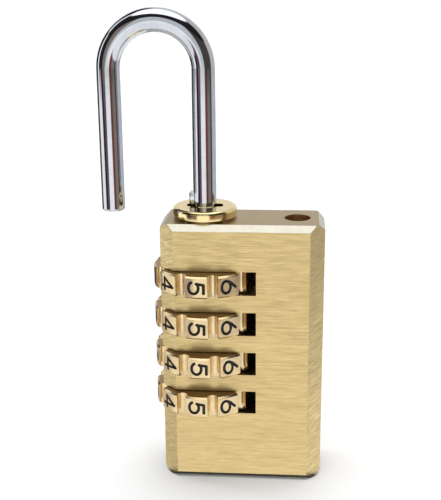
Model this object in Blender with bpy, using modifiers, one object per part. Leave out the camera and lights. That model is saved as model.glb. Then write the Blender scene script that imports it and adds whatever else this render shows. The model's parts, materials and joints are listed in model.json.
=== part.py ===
"""Four-wheel combination padlock, shackle raised and turned half round.

Frame: +X from the heel leg towards the toe hole, +Y to the back, +Z up.
The origin is the centre of the body's bottom face.
"""

import math

import bmesh
import bpy
from mathutils import Matrix

MM = 0.001

# Body
BODY_WIDTH = 30.0 * MM
BODY_DEPTH = 13.0 * MM
BODY_HEIGHT = 50.5 * MM
CORNER_CHAMFER = 2.65 * MM
RIM_CHAMFER = 1.1 * MM

# Shackle
HEEL_X = -7.0 * MM
LEG_SPACING = 17.0 * MM
ROD_RADIUS = 2.1 * MM
ARCH_CENTRE_Z = 77.5 * MM
TOE_END_Z = 51.7 * MM
END_CHAMFER = 0.3 * MM
ARCH_STEPS = 22

# Number wheels and their slots
WHEEL_COUNT = 4
TOP_WHEEL_Z = 39.8 * MM
WHEEL_PITCH = 7.85 * MM
WHEEL_HEIGHT = 4.1 * MM
SLOT_HEIGHT = 4.5 * MM
SLOT_DROP = 0.1 * MM
SLOT_CUTTER_RADIUS = 20.0 * MM
SLOT_END_X = 3.75 * MM
DIGITS = 10
WHEEL_RADIUS = 9.7 * MM
WHEEL_EDGE_BEVEL = 0.3 * MM
FLUTE_REACH = 9.35 * MM
FLUTE_RADIUS = 1.0 * MM
PAD_STEPS = 4
FLUTE_STEPS = 6
FRONT_PAD_TURN = math.radians(-5.6)
WHEEL_PLAY = [math.radians(turn) for turn in (0.0, 0.0, 1.9, -1.5)]

# Heel bore, clutch hubs and the clutch between hub and wheel
BORE_RADIUS = 4.9 * MM
HUB_RADIUS = 4.75 * MM
HUB_BORE_RADIUS = 2.35 * MM
HUB_WAIST_RADIUS = 4.2 * MM
WHEEL_BORE_RADIUS = 4.95 * MM
CLUTCH_TIP_RADIUS = 4.35 * MM
CLUTCH_BAND = 0.25 * MM
CLUTCH_NOTCH_WIDTH = 1.1 * MM
CLUTCH_TAB_WIDTH = 0.6 * MM
CLUTCH_TRAVEL = 0.4 * MM
UNDERCUT_RADIUS = 3.4 * MM
GATE_WIDTH = 1.7 * MM

# Locking fins and the collar lug on the shackle's heel
FIN_REACH = 3.1 * MM
FIN_WIDTH = 1.2 * MM
FIN_HEIGHT = 1.2 * MM
LUG_REACH = 2.8 * MM
LUG_WIDTH = 1.9 * MM
LUG_HEIGHT = 2.3 * MM
LUG_CLEARANCE = 0.25 * MM

# Reset collar
COLLAR_RADIUS = 5.85 * MM
COLLAR_THICKNESS = 1.75 * MM
COLLAR_LIFT = 0.45 * MM
COLLAR_WEB = 0.2 * MM
COLLAR_SLOT_REACH = 3.35 * MM
COLLAR_SLOT_WIDTH = 2.3 * MM
COLLAR_TOP_EDGE = 0.45 * MM
COLLAR_BOTTOM_EDGE = 0.15 * MM
PIN_Z = 46.5 * MM
PIN_RADIUS = 0.6 * MM

# Heel fittings and springs
PLUG_THICKNESS = 1.3 * MM
PLUG_RECESS = 0.15 * MM
HEEL_END_Z = 9.6 * MM
SPRING_BORE_RADIUS = 1.25 * MM
SPRING_BORE_DEPTH = 9.6 * MM
RING_Z = 10.1 * MM
RING_THICKNESS = 0.6 * MM
RING_RADIUS = 3.3 * MM
RING_GROOVE_RADIUS = 1.65 * MM
RING_MOUTH = 2.2 * MM
WASHER_THICKNESS = 0.6 * MM
CAP_THICKNESS = 0.8 * MM
CAP_RADIUS = 1.05 * MM
CAP_STEM_LENGTH = 1.0 * MM
SHACKLE_WIRE_RADIUS = 0.2 * MM
SHACKLE_COIL_RADIUS = 0.8 * MM
SHACKLE_COIL_TURNS = 11
CLUTCH_WIRE_RADIUS = 0.3 * MM
CLUTCH_COIL_RADIUS = 4.2 * MM
CLUTCH_COIL_TURNS = 4.5

# Toe hole
TOE_HOLE_RADIUS = 2.4 * MM
TOE_HOLE_BOTTOM_Z = 42.6 * MM

# Detent strip: a sprung strip beside the wheels, in line with one flute of each
DETENT_TURN = math.radians(-5.6)
DETENT_BORE_RADIUS = 1.9 * MM
DETENT_BORE_REACH = 12.3 * MM
DETENT_BORE_TOP_Z = 42.4 * MM
DETENT_CREST_REACH = 9.95 * MM
DETENT_BACK_REACH = 12.9 * MM
DETENT_CREST_HALF = 0.7 * MM
DETENT_RISE_HALF = 1.9 * MM
DETENT_WIDTH = 2.2 * MM
DETENT_THICKNESS = 0.3 * MM

# General
GAP = 0.3 * MM
PRESS_GAP = 0.1 * MM
OVERCUT = 1.0 * MM
MERGE = 0.01 * MM
FLAT_ANGLE = math.radians(0.1)
ROUND_SIDES = 32
FINE_SIDES = 96
MEDIUM_SIDES = 24
SMALL_SIDES = 16
WHEEL_BORE_SIDES = 40
BARREL_SIDES = 50
ROD_RESOLUTION = 8
WIRE_RESOLUTION = 2
FINE_COIL_STEPS = 8
WIDE_COIL_STEPS = 14

BRASS = ("brushed_brass", (0.78, 0.66, 0.40), 0.38)
WHEEL_BRASS = ("polished_brass", (0.83, 0.66, 0.33), 0.22)
GOLD = ("gold_plate", (0.93, 0.76, 0.36), 0.12)
CHROME = ("chrome", (0.80, 0.80, 0.82), 0.08)
STEEL = ("steel", (0.56, 0.57, 0.58), 0.35)
SPRING_STEEL = ("spring_steel", (0.42, 0.43, 0.45), 0.30)

WHEEL_Z = [TOP_WHEEL_Z - index * WHEEL_PITCH for index in range(WHEEL_COUNT)]
HUB_HALF = (WHEEL_PITCH - GAP) / 2
STACK_TOP_Z = WHEEL_Z[0] + HUB_HALF
STACK_BOTTOM_Z = WHEEL_Z[-1] - HUB_HALF
COLLAR_BOTTOM_Z = BODY_HEIGHT + COLLAR_LIFT
COLLAR_TOP_Z = COLLAR_BOTTOM_Z + COLLAR_THICKNESS
PLUG_TOP_Z = PLUG_RECESS + PLUG_THICKNESS
WASHER_TOP_Z = STACK_BOTTOM_Z - GAP
CAP_TOP_Z = HEEL_END_Z + SPRING_BORE_DEPTH - GAP


# ---------------------------------------------------------------- helpers


def clear_scene():
    for thing in list(bpy.data.objects):
        bpy.data.objects.remove(thing)


def make_collection(name):
    group = bpy.data.collections.new(name)
    bpy.context.scene.collection.children.link(group)
    return group


def make_material(finish):
    name, colour, roughness = finish
    material = bpy.data.materials.get(name)
    if material is None:
        material = bpy.data.materials.new(name)
        material.use_nodes = True
        shader = material.node_tree.nodes["Principled BSDF"]
        shader.inputs["Base Color"].default_value = (*colour, 1.0)
        shader.inputs["Roughness"].default_value = roughness
        shader.inputs["Metallic"].default_value = 1.0
    return material


def mesh_object(name, bm, location=(0.0, 0.0, 0.0), turn=0.0):
    """A loose object from a bmesh, turned about its own Z axis."""
    mesh = bpy.data.meshes.new(name)
    bm.to_mesh(mesh)
    bm.free()
    thing = bpy.data.objects.new(name, mesh)
    thing.location = location
    thing.rotation_euler = (0.0, 0.0, turn)
    return thing


def cylinder(name, radius, low, high, at=(0.0, 0.0), sides=ROUND_SIDES):
    bm = bmesh.new()
    bmesh.ops.create_cone(
        bm, cap_ends=True, segments=sides, radius1=radius, radius2=radius, depth=high - low
    )
    return mesh_object(name, bm, (at[0], at[1], (low + high) / 2))


def box(name, low, high, origin=(0.0, 0.0, 0.0), turn=0.0):
    """A box between two corners, given about an origin that it is turned about."""
    bm = bmesh.new()
    bmesh.ops.create_cube(bm, size=1.0)
    bmesh.ops.scale(bm, vec=[b - a for a, b in zip(low, high)], verts=bm.verts)
    bmesh.ops.translate(bm, vec=[(a + b) / 2 for a, b in zip(low, high)], verts=bm.verts)
    return mesh_object(name, bm, origin, turn)


def turned(name, profile, location, sides=ROUND_SIDES, closed=True):
    """A profile of (radius, z) points, outer side running down, turned about Z."""
    bm = bmesh.new()
    points = [bm.verts.new((radius, 0.0, z)) for radius, z in profile]
    for start, end in zip(points, points[1:]):
        bm.edges.new((start, end))
    if closed:
        bm.edges.new((points[-1], points[0]))
    thing = mesh_object(name, bm, location)
    screw = thing.modifiers.new("turn", "SCREW")
    screw.axis = "Z"
    screw.steps = screw.render_steps = sides
    screw.use_merge_vertices = True
    screw.merge_threshold = MERGE
    return thing


def ring(name, outer, inner, low, high, location, sides=ROUND_SIDES):
    profile = [(outer, high), (outer, low), (inner, low), (inner, high)]
    return turned(name, profile, location, sides)


def from_curve(curve_object):
    """The curve object as a welded mesh object in the same place."""
    bpy.context.scene.collection.objects.link(curve_object)
    depsgraph = bpy.context.evaluated_depsgraph_get()
    mesh = bpy.data.meshes.new_from_object(curve_object.evaluated_get(depsgraph))
    bm = bmesh.new()
    bm.from_mesh(mesh)
    bmesh.ops.remove_doubles(bm, verts=bm.verts, dist=MERGE)
    bmesh.ops.dissolve_limit(bm, angle_limit=FLAT_ANGLE, verts=bm.verts, edges=bm.edges)
    bmesh.ops.recalc_face_normals(bm, faces=bm.faces)
    bm.to_mesh(mesh)
    bm.free()
    thing = bpy.data.objects.new(curve_object.name, mesh)
    thing.matrix_world = curve_object.matrix_world
    bpy.data.objects.remove(curve_object)
    return thing


def add_points(curve, points, cyclic):
    spline = curve.splines.new("POLY")
    spline.points.add(len(points) - 1)
    for target, point in zip(spline.points, points):
        target.co = (*point, 1.0)
    spline.use_cyclic_u = cyclic
    return spline


def flat_solid(name, points, thickness, matrix=None):
    """A flat outline in its XY plane, thickened equally both ways."""
    curve = bpy.data.curves.new(name, "CURVE")
    curve.dimensions = "2D"
    curve.fill_mode = "BOTH"
    curve.extrude = thickness / 2
    add_points(curve, [(x, y, 0.0) for x, y in points], True)
    thing = bpy.data.objects.new(name, curve)
    thing.matrix_world = matrix or Matrix.Identity(4)
    return from_curve(thing)


def rod(name, points, radius, location, resolution, end_chamfer=0.0):
    """A round rod along points; a chamfer narrows its first and last point."""
    curve = bpy.data.curves.new(name, "CURVE")
    curve.dimensions = "3D"
    curve.bevel_depth = radius
    curve.bevel_resolution = resolution
    curve.use_fill_caps = True
    spline = add_points(curve, points, False)
    spline.points[0].radius = spline.points[-1].radius = 1.0 - end_chamfer / radius
    thing = bpy.data.objects.new(name, curve)
    thing.location = location
    return from_curve(thing)


def combine(thing, tool, operation):
    """Cut, join or intersect with a tool, which becomes a hidden cutter."""
    CUTTERS.objects.link(tool)
    tool.hide_render = True
    tool.display_type = "WIRE"
    modifier = thing.modifiers.new(tool.name, "BOOLEAN")
    modifier.operation = operation
    modifier.object = tool
    modifier.solver = "EXACT"


def cut(thing, tool):
    combine(thing, tool, "DIFFERENCE")


def join(thing, tool):
    combine(thing, tool, "UNION")


def finish_piece(thing, name, finish):
    """Name the piece, give it its material and put it in the padlock."""
    thing.name = name
    thing.data.name = name
    thing.data.materials.clear()
    thing.data.materials.append(make_material(finish))
    PADLOCK.objects.link(thing)
    return thing


def shared_mesh(thing):
    """The shape with its modifiers applied, for pieces that repeat."""
    PADLOCK.objects.link(thing)
    depsgraph = bpy.context.evaluated_depsgraph_get()
    mesh = bpy.data.meshes.new_from_object(thing.evaluated_get(depsgraph))
    for tool in [modifier.object for modifier in thing.modifiers if modifier.type == "BOOLEAN"]:
        bpy.data.objects.remove(tool)
    bpy.data.objects.remove(thing)
    return mesh


def chamfered(half_width, half_height, chamfer):
    """A rectangle with its four corners cut at 45 degrees."""
    corners = []
    for x, y in ((1, 1), (-1, 1), (-1, -1), (1, -1)):
        near_end = (x * (half_width - chamfer), y * half_height)
        near_side = (x * half_width, y * (half_height - chamfer))
        corners += [near_side, near_end] if x * y > 0 else [near_end, near_side]
    return corners


def polar(radius, angle):
    return (radius * math.cos(angle), radius * math.sin(angle))


def arc(centre, radius, start, end, steps):
    """Points round part of a circle, both ends included."""
    points = []
    for step in range(steps + 1):
        x, y = polar(radius, start + (end - start) * step / steps)
        points.append((centre[0] + x, centre[1] + y))
    return points


# ---------------------------------------------------------------- body


def make_body():
    half_width = BODY_WIDTH / 2
    half_depth = BODY_DEPTH / 2
    half_height = BODY_HEIGHT / 2
    middle = Matrix.Translation((0.0, 0.0, half_height))
    body = flat_solid(
        "body_plan", chamfered(half_width, half_depth, CORNER_CHAMFER), BODY_HEIGHT, middle
    )
    front = flat_solid(
        "rim_front",
        chamfered(half_width, half_height, RIM_CHAMFER),
        BODY_DEPTH + OVERCUT,
        middle @ Matrix.Rotation(math.pi / 2, 4, "X"),
    )
    side = flat_solid(
        "rim_side",
        chamfered(half_height, half_depth, RIM_CHAMFER),
        BODY_WIDTH + OVERCUT,
        middle @ Matrix.Rotation(math.pi / 2, 4, "Y"),
    )
    combine(body, front, "INTERSECT")
    combine(body, side, "INTERSECT")
    cut_body_bores(body)
    cut_wheel_slots(body)
    return finish_piece(body, "lock_body", BRASS)


def detent_centre():
    """Plan position of the detent strip's bore."""
    x, y = polar(DETENT_BORE_REACH, DETENT_TURN)
    return (HEEL_X + x, y)


def cut_body_bores(body):
    heel = (HEEL_X, 0.0)
    toe = (HEEL_X + LEG_SPACING, 0.0)
    top = BODY_HEIGHT + OVERCUT
    cut(body, cylinder("heel_bore", BORE_RADIUS, -OVERCUT, top, heel))
    cut(body, cylinder("toe_hole", TOE_HOLE_RADIUS, TOE_HOLE_BOTTOM_Z, top, toe, MEDIUM_SIDES))
    bore_low, bore_high = -OVERCUT, DETENT_BORE_TOP_Z
    at = detent_centre()
    cut(body, cylinder("detent_bore", DETENT_BORE_RADIUS, bore_low, bore_high, at, MEDIUM_SIDES))
    pin_hole = cylinder(
        "pin_hole", PIN_RADIUS + PRESS_GAP, 0.0, BODY_DEPTH / 2, heel, SMALL_SIDES
    )
    pin_hole.location = (HEEL_X, BODY_DEPTH / 2, PIN_Z)
    pin_hole.rotation_euler = (math.pi / 2, 0.0, 0.0)
    cut(body, pin_hole)


def cut_wheel_slots(body):
    centre = (SLOT_END_X - SLOT_CUTTER_RADIUS, 0.0)
    for number, z in enumerate(WHEEL_Z, 1):
        low = z - SLOT_DROP - SLOT_HEIGHT / 2
        high = low + SLOT_HEIGHT
        cut(body, cylinder(f"slot_{number}", SLOT_CUTTER_RADIUS, low, high, centre, FINE_SIDES))


# ---------------------------------------------------------------- shackle


def shackle_path():
    """Heel end up, over the arch and down to the toe, from the heel's axis."""
    radius = LEG_SPACING / 2
    path = [(0.0, 0.0, HEEL_END_Z), (0.0, 0.0, HEEL_END_Z + END_CHAMFER)]
    for x, z in arc((-radius, ARCH_CENTRE_Z), radius, 0.0, math.pi, ARCH_STEPS):
        path.append((x, 0.0, z))
    path += [(-LEG_SPACING, 0.0, TOE_END_Z + END_CHAMFER), (-LEG_SPACING, 0.0, TOE_END_Z)]
    return path


def heel_block(name, reach, width, low, high):
    """A block standing out of the heel towards the toe's side."""
    return box(
        name,
        (-reach, -width / 2, low),
        (-ROD_RADIUS / 2, width / 2, high),
        (HEEL_X, 0.0, 0.0),
    )


def make_shackle():
    heel = (HEEL_X, 0.0, 0.0)
    shackle = rod("rod", shackle_path(), ROD_RADIUS, heel, ROD_RESOLUTION, END_CHAMFER)
    lug_low = COLLAR_TOP_Z + LUG_CLEARANCE
    join(shackle, heel_block("lug", LUG_REACH, LUG_WIDTH, lug_low, lug_low + LUG_HEIGHT))
    for number, z in enumerate(WHEEL_Z, 1):
        raised = z + WHEEL_PITCH
        low, high = raised - FIN_HEIGHT / 2, raised + FIN_HEIGHT / 2
        join(shackle, heel_block(f"fin_{number}", FIN_REACH, FIN_WIDTH, low, high))
    cut(
        shackle,
        cylinder(
            "spring_bore",
            SPRING_BORE_RADIUS,
            HEEL_END_Z - OVERCUT,
            HEEL_END_Z + SPRING_BORE_DEPTH,
            heel[:2],
            SMALL_SIDES,
        ),
    )
    groove_low = RING_Z - PRESS_GAP
    groove_high = RING_Z + RING_THICKNESS + PRESS_GAP
    groove = ring(
        "ring_groove",
        ROD_RADIUS + OVERCUT,
        RING_GROOVE_RADIUS,
        groove_low,
        groove_high,
        heel,
        MEDIUM_SIDES,
    )
    cut(shackle, groove)
    return finish_piece(shackle, "shackle", CHROME)


def make_retaining_ring():
    """An open ring that stops the heel from pulling out through the hubs."""
    heel = (HEEL_X, 0.0, 0.0)
    inner = RING_GROOVE_RADIUS + PRESS_GAP
    top = RING_Z + RING_THICKNESS
    clip = ring("clip", RING_RADIUS, inner, RING_Z, top, heel, MEDIUM_SIDES)
    mouth = box(
        "clip_mouth",
        (0.0, -RING_MOUTH / 2, RING_Z - OVERCUT),
        (RING_RADIUS + OVERCUT, RING_MOUTH / 2, top + OVERCUT),
        heel,
    )
    cut(clip, mouth)
    return finish_piece(clip, "retaining_ring", SPRING_STEEL)


# ---------------------------------------------------------------- collar


def make_collar():
    """Flange over the body, with a skirt down the heel bore onto the hubs."""
    inner_top = COLLAR_BOTTOM_Z - COLLAR_WEB
    skirt_low = STACK_TOP_Z + GAP
    profile = [
        (COLLAR_RADIUS - COLLAR_TOP_EDGE, COLLAR_TOP_Z),
        (COLLAR_RADIUS, COLLAR_TOP_Z - COLLAR_TOP_EDGE),
        (COLLAR_RADIUS, COLLAR_BOTTOM_Z + COLLAR_BOTTOM_EDGE),
        (COLLAR_RADIUS - COLLAR_BOTTOM_EDGE, COLLAR_BOTTOM_Z),
        (HUB_RADIUS, COLLAR_BOTTOM_Z),
        (HUB_RADIUS, skirt_low),
        (UNDERCUT_RADIUS, skirt_low),
        (UNDERCUT_RADIUS, inner_top),
        (HUB_BORE_RADIUS, inner_top),
        (HUB_BORE_RADIUS, COLLAR_TOP_Z),
    ]
    heel = (HEEL_X, 0.0, 0.0)
    collar = turned("collar", profile, heel)
    half = COLLAR_SLOT_WIDTH / 2
    slots = box(
        "collar_slots",
        (-COLLAR_SLOT_REACH, -half, inner_top - OVERCUT),
        (COLLAR_SLOT_REACH, half, COLLAR_TOP_Z + OVERCUT),
        heel,
    )
    cut(collar, slots)
    key_low = PIN_Z - PIN_RADIUS - PRESS_GAP
    key_high = PIN_Z + PIN_RADIUS + CLUTCH_TRAVEL + PRESS_GAP
    key_half = PIN_RADIUS + PRESS_GAP
    keyway = box(
        "collar_keyway", (-key_half, 0.0, key_low), (key_half, BODY_DEPTH, key_high), heel
    )
    cut(collar, keyway)
    return finish_piece(collar, "reset_collar", GOLD)


def make_collar_pin():
    """Dowel through the back wall: it holds the collar in and keeps it from turning."""
    outer_end = BODY_DEPTH / 2 - PRESS_GAP
    inner_end = UNDERCUT_RADIUS + GAP
    pin = cylinder("pin", PIN_RADIUS, -(outer_end - inner_end) / 2, (outer_end - inner_end) / 2,
                   sides=SMALL_SIDES)
    pin.location = (HEEL_X, (outer_end + inner_end) / 2, PIN_Z)
    pin.rotation_euler = (math.pi / 2, 0.0, 0.0)
    return finish_piece(pin, "collar_pin", STEEL)


# ---------------------------------------------------------------- wheels and hubs


def wheel_outline():
    """Round rim with ten flutes, so that ten number pads are left between them."""
    pitch = 2 * math.pi / DIGITS
    squares = WHEEL_RADIUS**2 + FLUTE_REACH**2 - FLUTE_RADIUS**2
    flute_half = math.acos(squares / (2 * WHEEL_RADIUS * FLUTE_REACH))
    corner = polar(WHEEL_RADIUS, flute_half)
    flute_start = math.atan2(corner[1], corner[0] - FLUTE_REACH)
    pad_half = pitch / 2 - flute_half
    points = []
    for digit in range(DIGITS):
        pad = digit * pitch - math.pi / 2
        points += arc((0.0, 0.0), WHEEL_RADIUS, pad - pad_half, pad + pad_half, PAD_STEPS)
        turn = pad + pitch / 2
        flute = arc(
            polar(FLUTE_REACH, turn),
            FLUTE_RADIUS,
            turn - flute_start,
            turn - 2 * math.pi + flute_start,
            FLUTE_STEPS,
        )
        points += flute[1:-1]
    return points


def clutch_outline():
    """Round hole with ten notches, a little less deep than the wheel's plain bore."""
    pitch = 2 * math.pi / DIGITS
    notch_radius = WHEEL_BORE_RADIUS - PRESS_GAP
    inner_half = math.asin(CLUTCH_NOTCH_WIDTH / 2 / CLUTCH_TIP_RADIUS)
    outer_half = math.asin(CLUTCH_NOTCH_WIDTH / 2 / notch_radius)
    points = []
    for notch in range(DIGITS):
        middle = notch * pitch
        points += [
            polar(CLUTCH_TIP_RADIUS, middle - inner_half),
            polar(notch_radius, middle - outer_half),
            polar(notch_radius, middle + outer_half),
            polar(CLUTCH_TIP_RADIUS, middle + inner_half),
            polar(CLUTCH_TIP_RADIUS, middle + pitch / 2),
        ]
    return points


def wheel_mesh():
    half = WHEEL_HEIGHT / 2
    widest = WHEEL_RADIUS + OVERCUT
    rim = WHEEL_RADIUS - WHEEL_EDGE_BEVEL
    slope = widest - rim
    wheel = flat_solid("wheel", wheel_outline(), WHEEL_HEIGHT)
    barrel_profile = [
        (rim, half + MERGE),
        (widest, half - slope),
        (widest, slope - half),
        (rim, -half - MERGE),
        (MM, -half - MERGE),
        (MM, half + MERGE),
    ]
    band = CLUTCH_BAND / 2
    for name, low, high in (
        ("upper_bore", band, half + OVERCUT),
        ("lower_bore", -half - OVERCUT, -band),
    ):
        cut(wheel, cylinder(name, WHEEL_BORE_RADIUS, low, high, sides=WHEEL_BORE_SIDES))
    cut(wheel, flat_solid("clutch_notches", clutch_outline(), WHEEL_HEIGHT / 2))
    barrel = turned("barrel", barrel_profile, (0.0, 0.0, 0.0), BARREL_SIDES)
    combine(wheel, barrel, "INTERSECT")
    return shared_mesh(wheel)


def make_wheels():
    mesh = wheel_mesh()
    for number, (z, play) in enumerate(zip(WHEEL_Z, WHEEL_PLAY), 1):
        wheel = bpy.data.objects.new("wheel", mesh.copy())
        wheel.location = (HEEL_X, 0.0, z)
        wheel.rotation_euler = (0.0, 0.0, FRONT_PAD_TURN + play)
        finish_piece(wheel, f"number_wheel_{number}", WHEEL_BRASS)


def hub_mesh():
    """Sleeve inside a wheel: guide bands, a waist, an undercut and the gate."""
    shoulder = -CLUTCH_BAND / 2 - GAP
    waist_top = CLUTCH_BAND / 2 + CLUTCH_TRAVEL + 2 * GAP
    undercut_low = -FIN_HEIGHT / 2 - GAP
    undercut_high = FIN_HEIGHT / 2 + CLUTCH_TRAVEL + GAP
    profile = [
        (HUB_RADIUS, HUB_HALF),
        (HUB_RADIUS, waist_top),
        (HUB_WAIST_RADIUS, waist_top),
        (HUB_WAIST_RADIUS, shoulder),
        (HUB_RADIUS, shoulder),
        (HUB_RADIUS, -HUB_HALF),
        (HUB_BORE_RADIUS, -HUB_HALF),
        (HUB_BORE_RADIUS, undercut_low),
        (UNDERCUT_RADIUS, undercut_low),
        (UNDERCUT_RADIUS, undercut_high),
        (HUB_BORE_RADIUS, undercut_high),
        (HUB_BORE_RADIUS, HUB_HALF),
    ]
    hub = turned("hub", profile, (0.0, 0.0, 0.0), MEDIUM_SIDES)
    gate_low = (-UNDERCUT_RADIUS, -GATE_WIDTH / 2, -HUB_HALF - OVERCUT)
    gate_high = (0.0, GATE_WIDTH / 2, HUB_HALF + OVERCUT)
    cut(hub, box("gate", gate_low, gate_high))
    tab_middle = (HUB_RADIUS + UNDERCUT_RADIUS + GAP) / 2
    tab_half = HUB_RADIUS - tab_middle
    for number, side in enumerate((-1, 1), 1):
        low = (side * tab_middle - tab_half, -CLUTCH_TAB_WIDTH / 2, shoulder - GAP)
        high = (side * tab_middle + tab_half, CLUTCH_TAB_WIDTH / 2, CLUTCH_BAND / 2)
        join(hub, box(f"tab_{number}", low, high, turn=FRONT_PAD_TURN))
    return shared_mesh(hub)


def make_hubs():
    mesh = hub_mesh()
    for number, z in enumerate(WHEEL_Z, 1):
        hub = bpy.data.objects.new("hub", mesh.copy())
        hub.location = (HEEL_X, 0.0, z)
        finish_piece(hub, f"clutch_hub_{number}", STEEL)


# ---------------------------------------------------------------- heel fittings


def coil_points(radius, low, high, turns, steps):
    count = int(turns * steps)
    points = []
    for step in range(count + 1):
        x, y = polar(radius, 2 * math.pi * step / steps)
        points.append((x, y, low + (high - low) * step / count))
    return points


def make_shackle_spring():
    low = PLUG_TOP_Z + GAP + SHACKLE_WIRE_RADIUS
    high = CAP_TOP_Z - CAP_THICKNESS - GAP - SHACKLE_WIRE_RADIUS
    points = coil_points(SHACKLE_COIL_RADIUS, low, high, SHACKLE_COIL_TURNS, FINE_COIL_STEPS)
    spring = rod("coil", points, SHACKLE_WIRE_RADIUS, (HEEL_X, 0.0, 0.0), WIRE_RESOLUTION)
    finish_piece(spring, "shackle_spring", SPRING_STEEL)


def make_clutch_spring():
    low = PLUG_TOP_Z + GAP + CLUTCH_WIRE_RADIUS
    high = WASHER_TOP_Z - WASHER_THICKNESS - GAP - CLUTCH_WIRE_RADIUS
    points = coil_points(CLUTCH_COIL_RADIUS, low, high, CLUTCH_COIL_TURNS, WIDE_COIL_STEPS)
    spring = rod("coil", points, CLUTCH_WIRE_RADIUS, (HEEL_X, 0.0, 0.0), WIRE_RESOLUTION)
    finish_piece(spring, "clutch_spring", SPRING_STEEL)


def make_spring_cap():
    """Button on top of the shackle spring: the heel turns on it."""
    stem = SHACKLE_COIL_RADIUS - SHACKLE_WIRE_RADIUS - PRESS_GAP
    cap_low = CAP_TOP_Z - CAP_THICKNESS
    profile = [
        (0.0, CAP_TOP_Z),
        (CAP_RADIUS, CAP_TOP_Z),
        (CAP_RADIUS, cap_low),
        (stem, cap_low),
        (stem, cap_low - CAP_STEM_LENGTH),
        (0.0, cap_low - CAP_STEM_LENGTH),
    ]
    cap = turned("cap", profile, (HEEL_X, 0.0, 0.0), SMALL_SIDES, closed=False)
    finish_piece(cap, "spring_cap", STEEL)


def make_thrust_washer():
    washer = ring(
        "washer",
        HUB_RADIUS,
        HUB_BORE_RADIUS,
        WASHER_TOP_Z - WASHER_THICKNESS,
        WASHER_TOP_Z,
        (HEEL_X, 0.0, 0.0),
        MEDIUM_SIDES,
    )
    finish_piece(washer, "thrust_washer", STEEL)


def make_base_plugs():
    """Pressed plugs that close the heel bore and the detent bore."""
    for name, radius, at in (
        ("heel_plug", BORE_RADIUS, (HEEL_X, 0.0)),
        ("detent_plug", DETENT_BORE_RADIUS, detent_centre()),
    ):
        plug = cylinder("plug", radius - PRESS_GAP, PLUG_RECESS, PLUG_TOP_Z, at)
        finish_piece(plug, name, BRASS)


def detent_line():
    """Side view of the strip, (reach from the heel's axis, z), from the bottom up."""
    line = [(DETENT_BACK_REACH, PLUG_TOP_Z + GAP)]
    for z in reversed(WHEEL_Z):
        line += [
            (DETENT_BACK_REACH, z - DETENT_RISE_HALF),
            (DETENT_CREST_REACH, z - DETENT_CREST_HALF),
            (DETENT_CREST_REACH, z + DETENT_CREST_HALF),
            (DETENT_BACK_REACH, z + DETENT_RISE_HALF),
        ]
    line.append((DETENT_BACK_REACH, DETENT_BORE_TOP_Z - GAP))
    return line


def make_detent_spring():
    """One sprung strip with a crest beside a flute of each wheel."""
    bm = bmesh.new()
    half = DETENT_WIDTH / 2
    rows = []
    for reach, z in detent_line():
        rows.append([bm.verts.new((reach, side, z)) for side in (-half, half)])
    for below, above in zip(rows, rows[1:]):
        bm.faces.new((below[0], below[1], above[1], above[0]))
    strip = mesh_object("strip", bm, (HEEL_X, 0.0, 0.0), DETENT_TURN)
    solid = strip.modifiers.new("gauge", "SOLIDIFY")
    solid.thickness = DETENT_THICKNESS
    solid.offset = 1.0
    finish_piece(strip, "detent_spring", SPRING_STEEL)


# ---------------------------------------------------------------- build

clear_scene()
PADLOCK = make_collection("combination_padlock")
CUTTERS = make_collection("cutters")
make_body()
make_shackle()
make_retaining_ring()
make_collar()
make_collar_pin()
make_wheels()
make_hubs()
make_thrust_washer()
make_clutch_spring()
make_shackle_spring()
make_spring_cap()
make_base_plugs()
make_detent_spring()
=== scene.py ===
"""Looks of the combination padlock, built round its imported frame. Lengths are in millimetres
until a piece is placed, because the mesh cuts are steadier there; placing scales to metres."""

import json
import math

import bmesh
import bpy
from mathutils import Matrix, Vector


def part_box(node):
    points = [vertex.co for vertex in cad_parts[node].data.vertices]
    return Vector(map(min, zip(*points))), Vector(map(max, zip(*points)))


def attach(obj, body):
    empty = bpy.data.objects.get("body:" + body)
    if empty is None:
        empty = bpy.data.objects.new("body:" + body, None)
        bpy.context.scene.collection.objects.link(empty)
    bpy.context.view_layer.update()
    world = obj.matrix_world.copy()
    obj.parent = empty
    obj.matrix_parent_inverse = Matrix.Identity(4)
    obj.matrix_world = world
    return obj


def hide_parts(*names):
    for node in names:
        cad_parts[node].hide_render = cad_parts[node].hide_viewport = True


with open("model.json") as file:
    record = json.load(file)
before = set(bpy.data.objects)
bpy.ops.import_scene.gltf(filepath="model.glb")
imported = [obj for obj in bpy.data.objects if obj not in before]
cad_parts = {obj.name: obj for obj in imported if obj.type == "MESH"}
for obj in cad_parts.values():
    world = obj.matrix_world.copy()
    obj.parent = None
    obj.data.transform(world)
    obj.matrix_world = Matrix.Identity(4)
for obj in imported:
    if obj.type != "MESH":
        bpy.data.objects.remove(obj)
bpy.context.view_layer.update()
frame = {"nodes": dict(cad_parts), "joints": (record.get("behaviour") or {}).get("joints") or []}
MM = 0.001
JOINTS = {joint["name"]: joint for joint in frame["joints"]}


def node_box(node):
    """A node's lowest and highest corners at rest, in millimetres."""
    low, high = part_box(node)
    return low / MM, high / MM


# ------------------------------------------------ sizes read from the frame

BODY_LOW, BODY_HIGH = node_box("lock_body")
SHACKLE_TOP = node_box("shackle")[1].z
COLLAR_LOW, COLLAR_HIGH = node_box("reset_collar")
HEEL_X = JOINTS["shackle_swivel"]["pos_m"][0] / MM
WHEEL_NUMBERS = (1, 2, 3, 4)
WHEEL_Z = [JOINTS[f"wheel_{n}_spin"]["pos_m"][2] / MM for n in WHEEL_NUMBERS]
PIN_LOW, PIN_HIGH = node_box("collar_pin")
RING_LOW, RING_HIGH = node_box("retaining_ring")

# ------------------------------------------------ sizes of the visible detail

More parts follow.
